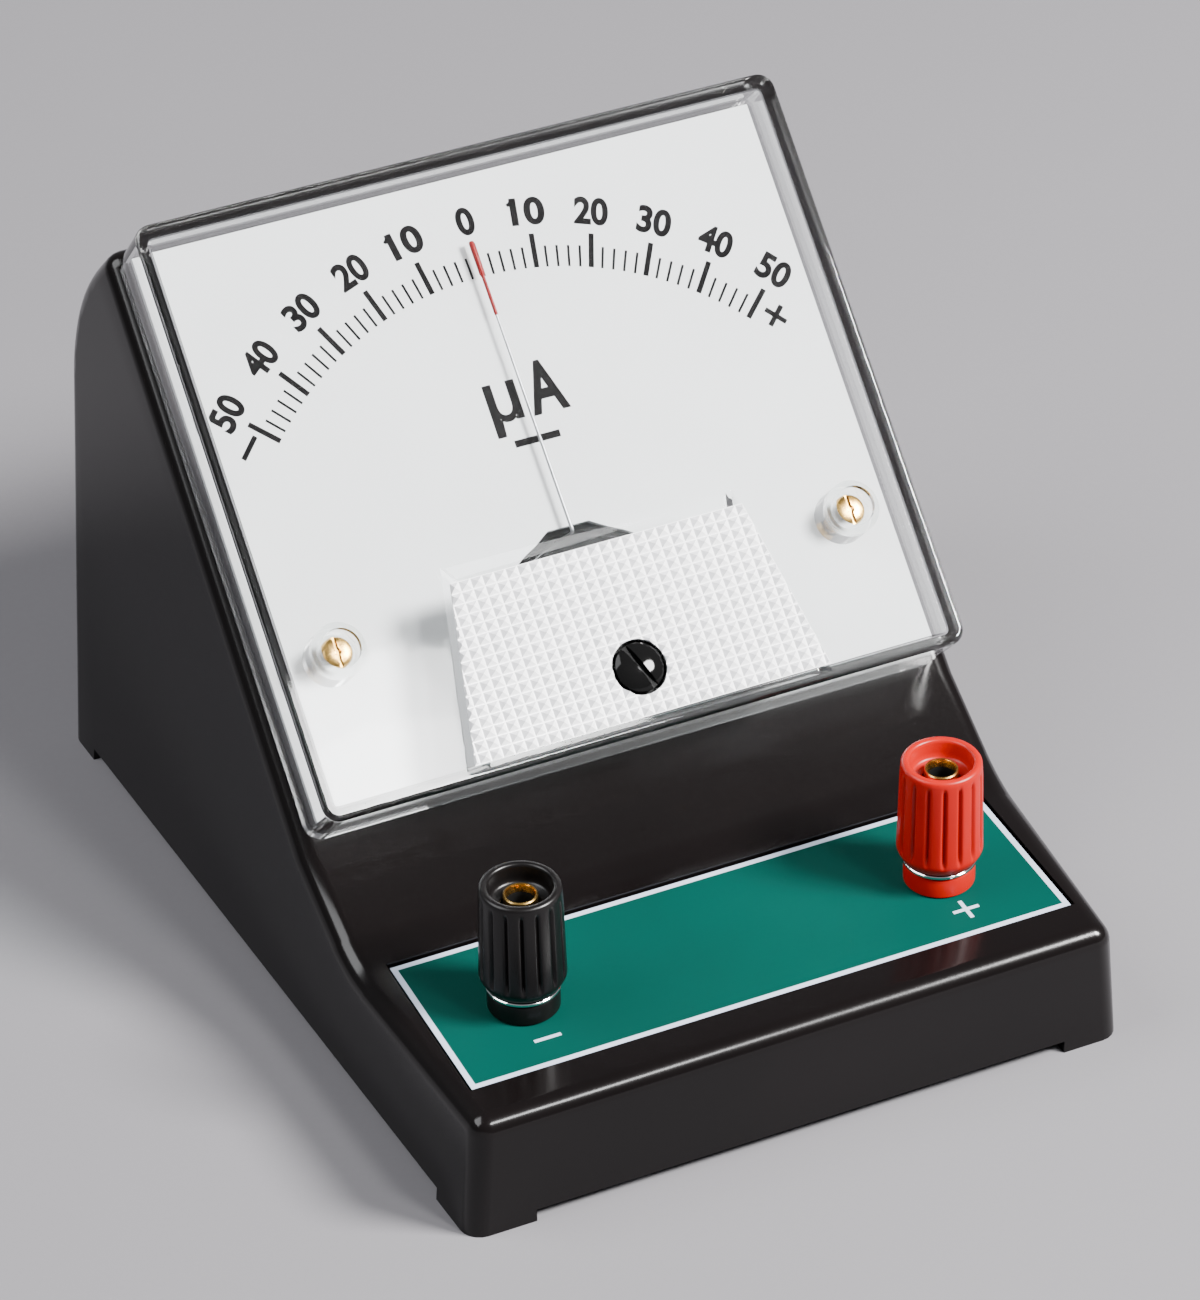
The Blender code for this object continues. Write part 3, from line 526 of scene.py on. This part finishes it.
def round_off(node):
    """Smooth shading over a node's roundings, with its sharp edges and flats kept."""
    node.data.shade_smooth()
    weld = node.modifiers.new("Weld", "WELD")
    weld.merge_threshold = 0.00001
    split = node.modifiers.new("Sharp edges", "EDGE_SPLIT")
    split.split_angle = math.radians(38)
    add_flats(node)


def dress_cad_nodes():
    for look, names in NODE_LOOKS.items():
        for name in names:
            node = frame["nodes"][name]
            node.data.materials.clear()
            node.data.materials.append(MATERIAL[look])
            round_off(node)


# ---------------------------------------------------------------- clear cover
def cover_block(inset, low, high, corner, rim):
    half = COVER_HALF_WIDTH - inset
    bm = box((-half, inset, low), (half, COVER_LENGTH - inset, high))
    upright = [e for e in bm.edges if abs(e.verts[0].co.z - e.verts[1].co.z) > 1]
    bmesh.ops.bevel(bm, geom=upright, offset=corner, segments=8, affect="EDGES", profile=0.5)
    edges = [e for e in bm.edges if all(abs(v.co.z - high) < 0.01 for v in e.verts)]
    bmesh.ops.bevel(bm, geom=edges, offset=rim, segments=4, affect="EDGES", profile=0.5)
    return bm


def panel_half(s):
    slant = (PANEL_HALF_BOTTOM - PANEL_HALF_TOP) / PANEL_LENGTH
    return PANEL_HALF_TOP + slant * (PANEL_LENGTH - s)


def panel_block(low_s, inset, low, high, rounding=0.0):
    """The raised panel's wedge, wider towards the cover's lower edge."""
    bm = box((-1, 0, 0), (1, 1, 1))
    for vert in bm.verts:
        outer = vert.co.z > 0.5
        spread = 0 if outer else 1
        s = low_s
        if vert.co.y > 0.5:
            s = PANEL_LENGTH - inset + spread * PANEL_BEVEL_TOP
        half = panel_half(s) - inset + spread * PANEL_BEVEL_SIDE
        vert.co = (math.copysign(half, vert.co.x), s, high if outer else low)
    if rounding:
        edges = [e for e in bm.edges if max(v.co.z for v in e.verts) > high - 0.01
                 and max(v.co.y for v in e.verts) > low_s + 1]
        bmesh.ops.bevel(bm, geom=edges, offset=rounding, segments=3, affect="EDGES",
                        profile=0.5)
    return bm


def pyramid_sheet():
    """Rows of small square pyramids over the raised panel's face, as one closed sheet."""
    bm = bmesh.new()
    corners = {}

    def corner(column, row):
        if (column, row) not in corners:
            spot = (column * PYRAMID_WIDTH, TEXTURE_LOW + row * PYRAMID_DEPTH,
                    PANEL_TOP + TEXTURE_LIFT)
            corners[column, row] = bm.verts.new(spot)
        return corners[column, row]

    rows = math.ceil((PANEL_LENGTH - TEXTURE_LOW) / PYRAMID_DEPTH)
    cells = []
    for row in range(rows):
        middle = TEXTURE_LOW + (row + 0.5) * PYRAMID_DEPTH
        reach = math.ceil(panel_half(middle) / PYRAMID_WIDTH) + 1
        for column in range(-reach, reach):
            ring = [corner(column, row), corner(column + 1, row),
                    corner(column + 1, row + 1), corner(column, row + 1)]
            cells.append(bm.faces.new(ring))
    lowered = bmesh.ops.extrude_face_region(bm, geom=cells, use_keep_orig=True)["geom"]
    moved = [item for item in lowered if isinstance(item, bmesh.types.BMVert)]
    bmesh.ops.translate(bm, verts=moved, vec=(0, 0, -TEXTURE_THICK))
    bmesh.ops.recalc_face_normals(bm, faces=bm.faces)
    upper = [f for f in bm.faces if f.normal.z > 0.9]
    bmesh.ops.inset_individual(bm, faces=upper, thickness=PYRAMID_VALLEY)
    bmesh.ops.poke(bm, faces=upper, offset=PYRAMID_HEIGHT)
    return bm


def make_cover():
    """The clear tray with its raised panel and screw posts, and the panel's pyramids.

    The Boolean tools reach a little past the faces that they cut or join."""
    inner_top = COVER_TOP - COVER_FACE_WALL
    steps = [
        ("UNION", panel_block(PANEL_LOW, 0, COVER_TOP - 0.3, PANEL_TOP, PANEL_EDGE)),
        ("DIFFERENCE",
         cover_block(COVER_SIDE_WALL, COVER_FOOT - 3, inner_top, INNER_CORNER, INNER_RIM)),
        ("DIFFERENCE",
         panel_block(CAVITY_LOW, CAVITY_INSET, inner_top - 0.4, PANEL_TOP - COVER_FACE_WALL)),
    ]
    for x in (-POST_X, POST_X):
        steps += [
            ("UNION", rod(x, POST_S, POST_RADIUS, DIAL_TOP + 0.3, inner_top + 0.5)),
            ("DIFFERENCE", rod(x, POST_S, POST_MOUTH, POST_FLOOR, 12)),
            ("DIFFERENCE", rod(x, POST_S, SCREW_HOLE, -1, 5)),
        ]
    steps.append(("DIFFERENCE", rod(0, ZERO_S, ZERO_HOLE, 5, 14, 64)))
    blank = cover_block(0, COVER_FOOT, COVER_TOP, COVER_CORNER, COVER_RIM)
    place("clear_cover", combine(blank, steps), FACE, MATERIAL["clear"], "case",
          ["front_window"], smooth=30, flats=True)
    trim = [("INTERSECT", panel_block(TEXTURE_LOW, 0.1, PANEL_TOP - 1, PANEL_TOP + 3)),
            ("DIFFERENCE", rod(0, ZERO_S, ZERO_HOLE + ZERO_RIM, 5, 14, 64))]
    sheet = place("panel_texture", combine(pyramid_sheet(), trim), FACE,
                  MATERIAL["textured"], "case", smooth=10)
    sheet.data.materials.append(MATERIAL["textured_painted_shade"])
    # Facets turned up the slope or to the left take the greyer copy, as painted shade.
    up_slope = FACE.to_3x3().col[1].normalized()
    for face in sheet.data.polygons:
        shaded = face.normal.dot(up_slope) > 0.4 or face.normal.x < -0.4
        face.material_index = 1 if shaded else 0


def make_cover_screws():
    """Slotted brass screws with a centre dimple, seated in the clear posts."""
    dimple = [(0.01, 5.55), (0.35, 5.6), (0.55, HEAD_TOP)]
    crown = [(1.6, HEAD_TOP), (2.05, 5.75), (HEAD_RADIUS, 5.3), (HEAD_RADIUS, HEAD_UNDER)]
    shank = [(SHANK_RADIUS, HEAD_UNDER), (SHANK_RADIUS, SHANK_END), (0.01, SHANK_END)]
    head = dimple + crown + shank
    for side, x in (("left", -POST_X), ("right", POST_X)):
        slot = box((x - SLOT_HALF, POST_S - 3, SLOT_FLOOR), (x + SLOT_HALF, POST_S + 3, 7))
        screw = turned(plain(head), 64)
        bmesh.ops.translate(screw, verts=screw.verts, vec=(x, POST_S, 0))
        node = "window_screw_" + side
        place(node + "_turned", combine(screw, [("DIFFERENCE", slot)]), FACE,
              MATERIAL["brass"], "case", [node], smooth=30)


def arc_band(profile, reach, steps=32):
    """Carries a closed (radius, height) profile round the pivot, to an angle on each side."""
    bm = bmesh.new()
    rings = []
    for radius, height in profile:
        angles = [reach * (2 * k / steps - 1) for k in range(steps + 1)]
        rings.append([bm.verts.new((radius * math.sin(a), radius * math.cos(a), height))
                      for a in angles])
    for here, there in zip(rings, rings[1:] + rings[:1]):
        for k in range(steps):
            bm.faces.new((here[k], here[k + 1], there[k + 1], there[k]))
    for end in (0, steps):
        bm.faces.new([ring[end] for ring in rings])
    return bm


def flat_ring(near, far, low, high):
    """A flat profile for arc_band."""
    return [(near, high), (far, high), (far, low), (near, low)]


def make_slot_shade():
    """Painted shade: black sheets round and below the pointer's opening, with a deep gap for the
    pointer, and a black patch on the dial beside it.
    """
    near, far = SHADE_SHEET_GAP
    under = SHADE_SHEET_TOP - SHADE_SHEET_THICK
    inner = [(SHADE_SHEET_NEAR, SHADE_SHEET_TOP), (near, SHADE_SHEET_TOP), (near, SHADE_SHEET_FOOT),
             (near - SHADE_SHEET_WALL, SHADE_SHEET_FOOT), (near - SHADE_SHEET_WALL, under),
             (SHADE_SHEET_NEAR, under)]
    outer = [(far, SHADE_SHEET_TOP), (SHADE_SHEET_FAR, SHADE_SHEET_TOP), (SHADE_SHEET_FAR, under),
             (far + SHADE_SHEET_WALL, under), (far + SHADE_SHEET_WALL, SHADE_SHEET_FOOT), (far, SHADE_SHEET_FOOT)]
    floor = flat_ring(FLOOR_NEAR, SHADE_SHEET_FAR, SHADE_SHEET_FLOOR - SHADE_SHEET_THICK, SHADE_SHEET_FLOOR)
    # Painted shade: a black patch on the dial beside the opening, widening its dark.
    patch = flat_ring(SHADE_PATCH_NEAR, SHADE_PATCH_FAR, INK_LOW, INK_HIGH)
    bands = [(arc_band(profile, SHADE_SHEET_REACH), Matrix.Identity(4))
             for profile in (inner, outer, floor)]
    bands.append((arc_band(patch, SHADE_PATCH_REACH), Matrix.Identity(4)))
    place("slot_painted_shade", merge(bands), PIVOT, MATERIAL["shade"], "case")


# ---------------------------------------------------------------- dial print
def ink_bar(width, start, end, angle=0.0, centre=(0, 0)):
    """A printed bar along +Y from start to end, turned clockwise about a centre."""
    bm = box((-width / 2, start, INK_LOW), (width / 2, end, INK_HIGH))
    turn = Matrix.Rotation(-angle, 4, "Z")
    return bm, Matrix.Translation((*centre, 0)) @ turn


def letters(body, height, width, weight):
    """Lettering as a thin slab, sized to a height and width and centred on zero."""
    text = bpy.data.curves.new("print", "FONT")
    text.body = body
    text.align_x = "CENTER"
    text.offset = weight
    text.extrude = 0.01
    text.resolution_u = 6
    item = bpy.data.objects.new("print", text)
    bpy.context.scene.collection.objects.link(item)
    graph = bpy.context.evaluated_depsgraph_get()
    mesh = bpy.data.meshes.new_from_object(item.evaluated_get(graph))
    bpy.data.objects.remove(item)
    bm = bmesh.new()
    bm.from_mesh(mesh)
    bmesh.ops.remove_doubles(bm, verts=bm.verts, dist=0.00001)
    low = Vector([min(v.co[k] for v in bm.verts) for k in range(3)])
    high = Vector([max(v.co[k] for v in bm.verts) for k in range(3)])
    size = high - low
    middle = (low + high) / 2
    thick = INK_HIGH - INK_LOW
    for vert in bm.verts:
        vert.co = ((vert.co.x - middle.x) * width / size.x,
                   (vert.co.y - middle.y) * height / size.y,
                   (vert.co.z - low.z) * thick / size.z + INK_LOW)
    return bm


def make_scale():
    """Ticks at every second unit, with a longer tick and a number at every tenth."""
    parts = []
    for value in range(-FULL_SCALE, FULL_SCALE + 1, 2):
        major = value % 10 == 0
        angle = FULL_ANGLE * value / FULL_SCALE
        width, outer = (MAJOR_WIDTH, MAJOR_OUTER) if major else (MINOR_WIDTH, MINOR_OUTER)
        parts.append(ink_bar(width, TICK_INNER, outer, angle))
        if major:
            body = str(abs(value))
            turn = Matrix.Rotation(-angle, 4, "Z") @ Matrix.Translation((0, NUMBER_RADIUS, 0))
            wide = DIGIT_WIDTH * len(body) + 0.25
            parts.append((letters(body, NUMBER_HEIGHT, wide, DIGIT_WEIGHT), turn))
            if body.startswith("1"):
                flag, lean = ink_bar(FLAG_WIDTH, 0, FLAG_LENGTH, FLAG_LEAN, FLAG_FOOT)
                parts.append((flag, turn @ lean))
    place("scale_marks", merge(parts), PIVOT, MATERIAL["ink"], "case")


def make_dial_signs():
    """The unit with the line under it, and the signs at the two ends of the scale."""
    level = math.pi / 2
    parts = [(letters("µ", *MU_SIZE), Matrix.Translation(MU_PLACE)),
             (letters("A", *A_SIZE), Matrix.Translation(A_PLACE)),
             ink_bar(UNDERLINE_WIDTH, -UNDERLINE_REACH, UNDERLINE_REACH, level,
                     UNDERLINE_PLACE),
             ink_bar(SIGN_WIDTH, -MINUS_REACH, MINUS_REACH, level - FULL_ANGLE, MINUS_PLACE)]
    for extra in (0, level):
        parts.append(ink_bar(SIGN_WIDTH, -PLUS_REACH, PLUS_REACH, FULL_ANGLE + extra,
                             PLUS_PLACE))
    place("dial_signs", merge(parts), FACE, MATERIAL["ink"], "case")


# ---------------------------------------------------------------- needle
def make_needle():
    """The wire on its hub, up through the dial and out to the scale, with two short tails."""
    lean = PIVOT @ Matrix.Rotation(NEEDLE_REST, 4, "Z")
    hub = turned(plain([(2.1, -6.75), (2.2, -6.85), (2.2, -7.5), (2.1, -7.6), (0.85, -7.6),
                        (0.85, -6.7)]), 36)
    quarter = [math.pi / 2 * k / 6 for k in range(7)]
    bend = [Vector((0, RISE_RADIUS - NEEDLE_BEND * (1 - math.sin(a)),
                    ARM_HEIGHT + NEEDLE_BEND * (1 - math.cos(a)))) for a in quarter]
    top = [Vector((0, RISE_RADIUS + NEEDLE_BEND * (1 - math.cos(a)),
                   NEEDLE_HEIGHT - NEEDLE_BEND * (1 - math.sin(a)))) for a in quarter]
    start = Vector((0, ARM_START, ARM_HEIGHT))
    route = [start] + bend + top + [Vector((0, METAL_END, NEEDLE_HEIGHT))]
    radii = [NEEDLE_RADIUS] * (len(route) - 1) + [0.2]
    parts = [(hub, Matrix.Identity(4)), (tube(route, radii), Matrix.Identity(4))]
    for turn in (TAIL_ANGLE, -TAIL_ANGLE):
        tail = tube([start, Vector((0, TAIL_END, ARM_HEIGHT))], [TAIL_RADIUS, TAIL_RADIUS])
        parts.append((tail, Matrix.Rotation(turn, 4, "Z")))
    place("needle_wire", merge(parts), lean, MATERIAL["needle_metal"], "moving_coil",
          ["pointer"])
    red = [(44.0, 0.22), (44.15, 0.27), (49.9, 0.25), (50.1, 0.3), (50.3, 0.42),
           (NEEDLE_TIP - 0.4, 0.42), (NEEDLE_TIP - 0.1, 0.34), (NEEDLE_TIP, 0.1)]
    tip = tube([Vector((0, s, NEEDLE_HEIGHT)) for s, _ in red], [radius for _, radius in red])
    place("needle_tip", merge([(tip, Matrix.Identity(4))]), lean, MATERIAL["needle_red"],
          "moving_coil")


# ---------------------------------------------------------------- label
def label_bar(x0, x1, y0, y1):
    return box((x0, y0, LABEL_TOP - 0.05), (x1, y1, LABEL_TOP + 0.03)), Matrix.Identity(4)


def make_label_print():
    """The white line round the label, with a minus and a plus in front of the terminals."""
    low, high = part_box("label_plate")
    x0, y0 = low.x / MM, low.y / MM
    x1, y1 = high.x / MM, high.y / MM
    parts = [label_bar(x0, x1, y0, y0 + LABEL_LINE), label_bar(x0, x1, y1 - LABEL_LINE, y1),
             label_bar(x0, x0 + LABEL_LINE, y0 + LABEL_LINE, y1 - LABEL_LINE),
             label_bar(x1 - LABEL_LINE, x1, y0 + LABEL_LINE, y1 - LABEL_LINE)]
    middle = y0 + LABEL_SIGN_UP
    half, reach = LABEL_SIGN_HALF, LABEL_SIGN_REACH
    for x in (-LABEL_SIGN_X, LABEL_SIGN_X):
        parts.append(label_bar(x - reach, x + reach, middle - half, middle + half))
    x = LABEL_SIGN_X
    parts.append(label_bar(x - half, x + half, middle + half, middle + reach))
    parts.append(label_bar(x - half, x + half, middle - reach, middle - half))
    place("label_lines", merge(parts), FLOOR, MATERIAL["label_white"], "case")


# ---------------------------------------------------------------- terminals
def cap_profile():
    outer = [(4.42, 39.5, 0), (4.5, 39.85, 0), (4.75, CAP_TOP, 0), (5.2, CAP_TOP, 0),
             (5.5, 39.92, 0), (5.68, 39.6, 0), (5.72, 39.1, 0), (5.75, 38.7, 0.25),
             (5.78, 38.2, 0.85), (5.82, 37.6, 1), (6.05, 27.2, 1), (6.08, 26.2, 0.85),
             (6.1, 25.6, 0.25), (6.1, 25.2, 0), (5.95, 24.8, 0), (5.45, 23.85, 0),
             (5.25, CAP_FOOT, 0)]
    inner = [(2.75, CAP_FOOT, 0), (2.75, 36.9, 0), (3.0, 37.1, 0), (3.9, 37.2, 0),
             (4.2, 37.5, 0), (4.3, 38.2, 0)]
    return outer + inner


def make_terminal(side):
    where = terminal_matrix(side)
    cap = to_mesh(turned(cap_profile(), CAP_STEPS, FLUTES, FLUTE_DEPTH))
    place(side + "_cap", cap, where, MATERIAL[side + "_cap"], side + "_cap",
          [side + "_terminal_cap"], smooth=50)
    washer = turned(plain([(2.75, 23.4), (5.2, 23.4), (5.3, 23.3), (5.3, 23.0), (5.2, 22.9),
                           (2.75, 22.9)]), 96)
    place(side + "_washer", to_mesh(washer), where, MATERIAL["chrome"], side + "_clamp",
          [side + "_terminal_washer"])
    collar = turned(plain([(2.35, 22.6), (4.85, 22.6), (5.02, 22.52), (5.08, 22.35),
                           (5.08, 19.64), (3.2, 19.64), (3.2, 17.3), (2.35, 17.3)]), 96)
    place(side + "_collar", to_mesh(collar), where, MATERIAL[side + "_cap"], "case",
          [side + "_terminal_collar"])
    stud = turned(plain([(2.0, 38.35), (2.12, 38.6), (2.28, 38.6), (2.4, 38.45), (2.4, 23.0),
                         (2.0, 23.0), (2.0, 9.8), (1.7, 9.5), (0.01, 9.5), (0.01, 27.0),
                         (1.9, 27.0), (2.0, 27.1)]), 96)
    place(side + "_socket", to_mesh(stud), where, MATERIAL["brass"], "case",
          [side + "_terminal_stud"])
    # Painted shade: a black sleeve down the socket's bore darkens the hole below its brass mouth.
    depth = turned(plain([(1.7, 36.9), (1.97, 37.3), (1.97, 27.2), (1.7, 27.2)]), 48)
    place(side + "_socket_painted_shade", to_mesh(depth), where, MATERIAL["shade"], "case")


# ---------------------------------------------------------------- stage
def make_floor():
    bm = bmesh.new()
    bmesh.ops.create_grid(bm, x_segments=4, y_segments=4, size=2.5)
    mesh = bpy.data.meshes.new("floor")
    bm.to_mesh(mesh)
    bm.free()
    mesh.materials.append(surface("floor_paper", (0.138, 0.134, 0.143), (0.147, 0.143, 0.152),
                                  (0.75, 0.9), grain=900, bump=0.08, patch=3))
    floor = bpy.data.objects.new("floor", mesh)
    bpy.context.scene.collection.objects.link(floor)


def area_light(name, toward, distance, size, power, colour=(1, 1, 1), shape="SQUARE"):
    """A light at a distance along a direction, aimed at the object's middle."""
    lamp = bpy.data.lights.new(name, "AREA")
    lamp.shape = shape
    lamp.size = size
    lamp.energy = power
    lamp.color = colour
    item = bpy.data.objects.new(name, lamp)
    bpy.context.scene.collection.objects.link(item)
    direction = Vector(toward).normalized()
    item.location = LOOK_AT * MM + direction * distance
    item.rotation_euler = direction.to_track_quat("Z", "Y").to_euler()


def make_lights():
    area_light("key", (0.56, -0.5, 0.66), 1.3, 0.4, 86, (1, 0.985, 0.975), "DISK")
    area_light("left_fill", (-0.75, 0.15, 0.85), 1.8, 1.2, 42, (0.97, 0.98, 1))
    for size, power in ((0.12, 3), (0.17, 3.5), (0.22, 4)):
        area_light("sheen", (0.255, -0.6, 0.757), 1.2, size, power, shape="DISK")
    world = bpy.data.worlds.new("studio")
    world.use_nodes = True
    back = world.node_tree.nodes["Background"]
    back.inputs["Color"].default_value = (0.8, 0.8, 0.84, 1)
    back.inputs["Strength"].default_value = 0.32
    bpy.context.scene.world = world


def make_camera():
    lens = bpy.data.cameras.new("camera")
    lens.sensor_fit = "HORIZONTAL"
    lens.sensor_width = 36
    lens.lens = CAMERA_LENS
    lens.clip_end = 20
    camera = bpy.data.objects.new("camera", lens)
    bpy.context.scene.collection.objects.link(camera)
    azimuth, elevation = CAMERA_AZIMUTH, CAMERA_ELEVATION
    toward = Vector((-math.sin(azimuth) * math.cos(elevation),
                     -math.cos(azimuth) * math.cos(elevation), math.sin(elevation)))
    right = Vector((math.cos(azimuth), -math.sin(azimuth), 0))
    up = toward.cross(right)
    roll = Matrix.Rotation(CAMERA_ROLL, 3, toward)
    turn = Matrix((roll @ right, roll @ up, toward)).transposed().to_4x4()
    camera.matrix_world = Matrix.Translation((LOOK_AT + toward * CAMERA_DISTANCE) * MM) @ turn
    bpy.context.scene.camera = camera


make_camera()
dress_cad_nodes()
make_cover()
make_cover_screws()
make_slot_shade()
make_scale()
make_dial_signs()
make_needle()
make_label_print()
make_terminal("black")
make_terminal("red")
make_floor()
make_lights()
